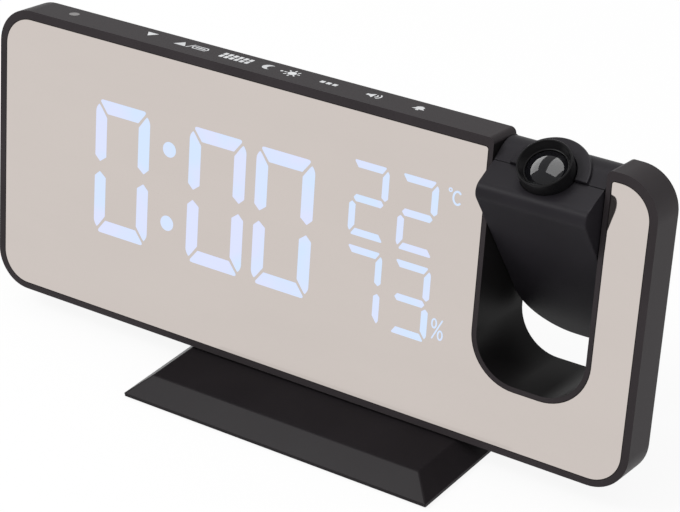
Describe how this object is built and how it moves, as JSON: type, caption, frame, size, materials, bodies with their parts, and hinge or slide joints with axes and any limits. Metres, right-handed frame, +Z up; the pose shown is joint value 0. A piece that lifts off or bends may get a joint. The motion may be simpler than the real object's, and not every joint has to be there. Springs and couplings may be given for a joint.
{
  "type": "projection alarm clock",
  "caption": "Mirror-faced digital alarm clock leaning on a low stand, with a projector arm that swings in an open slot, a focus ring on its lens, touch keys on top and a battery door behind.",
  "frame": {"origin": "on the table, in the middle of the clock's width and of its whole depth", "axes": "+X to the right as seen by someone reading the clock, +Y away from that person, +Z up"},
  "size_m": [0.1918, 0.0652, 0.0864],
  "materials": {
    "black_casing": "fine satin moulded ABS",
    "matt_black": "matt moulded plastic",
    "mirror": "half-mirror coating on acrylic",
    "segment_light": "translucent diffuser, lit from behind",
    "circuit_board": "solder-masked board",
    "led_body": "pale moulded chip",
    "steel": "zinc-plated",
    "steel_weight": "cut steel plate",
    "foam": "conductive foam",
    "sensor_window": "smoked window",
    "speaker_cone": "paper cone in a steel basket",
    "gilt_spring": "gilt spring contact",
    "nylon": "natural acetal",
    "black_rubber": "soft rubber",
    "clear_lens": "polished optical plastic",
    "smoked_glass": "liquid-crystal cell"
  },
  "bodies": {
    "root": {"front_casing": "black_casing", "rear_cover": "black_casing", "rear_screws": "steel", "mirror_panel": "mirror", "segment_mask": "matt_black", "segment_lights": "segment_light", "display_board": "circuit_board", "segment_leds": "led_body", "display_screws": "steel", "touch_board": "circuit_board", "touch_pads": "foam", "light_sensor": "sensor_window", "main_board": "circuit_board", "board_parts": "matt_black", "board_screws": "steel", "dc_inlet": "matt_black", "usb_port": "steel", "antenna_bush": "black_rubber", "speaker": "speaker_cone", "speaker_grille": "black_casing", "climate_sensor": "led_body", "coin_cell": "steel", "cell_clip": "gilt_spring", "hinge_bush_left": "nylon", "hinge_bush_right": "nylon", "spring_washers": "steel", "stand_shell": "black_casing", "stand_plate": "black_casing", "stand_weight": "steel_weight", "plate_screws": "steel", "stand_bolts": "steel", "rubber_feet": "black_rubber"},
    "projector_arm": {"arm_front_shell": "black_casing", "arm_rear_shell": "black_casing", "arm_screws": "steel", "hinge_axle_left": "steel", "hinge_axle_right": "steel", "optics_tube": "matt_black", "lamp_board": "circuit_board", "lamp_chip": "led_body", "condenser_lens": "clear_lens", "image_cell": "smoked_glass"},
    "focus_ring": {"focus_ring": "matt_black"},
    "lens_cell": {"lens_carrier": "matt_black", "projection_lens": "clear_lens", "lens_retainer": "matt_black"},
    "battery_door": {"battery_door": "black_casing"}
  },
  "joints": [
    {"name": "projector_swing", "type": "hinge", "parent": "root", "child": "projector_arm", "pos_m": [0.06765, 0.00587, 0.06476], "axis": [1, 0, 0], "range_deg": [-128, 52]},
    {"name": "focus_turn", "type": "hinge", "parent": "projector_arm", "child": "focus_ring", "pos_m": [0.06765, -0.00408, 0.08094], "axis": [0, -0.524, 0.8517], "range_deg": [-90, 90]},
    {"name": "lens_focus", "type": "slide", "parent": "projector_arm", "child": "lens_cell", "axis": [0, -0.524, 0.8517], "range_m": [-0.0005, 0.0005]},
    {"name": "battery_door_slide", "type": "slide", "parent": "root", "child": "battery_door", "axis": [0, -0.1115, -0.9938], "range_m": [0, 0.012]}
  ],
  "couplings": [
    {"joint": "focus_turn", "follows": "lens_focus", "rad_per_m": 3141.5}
  ]
}
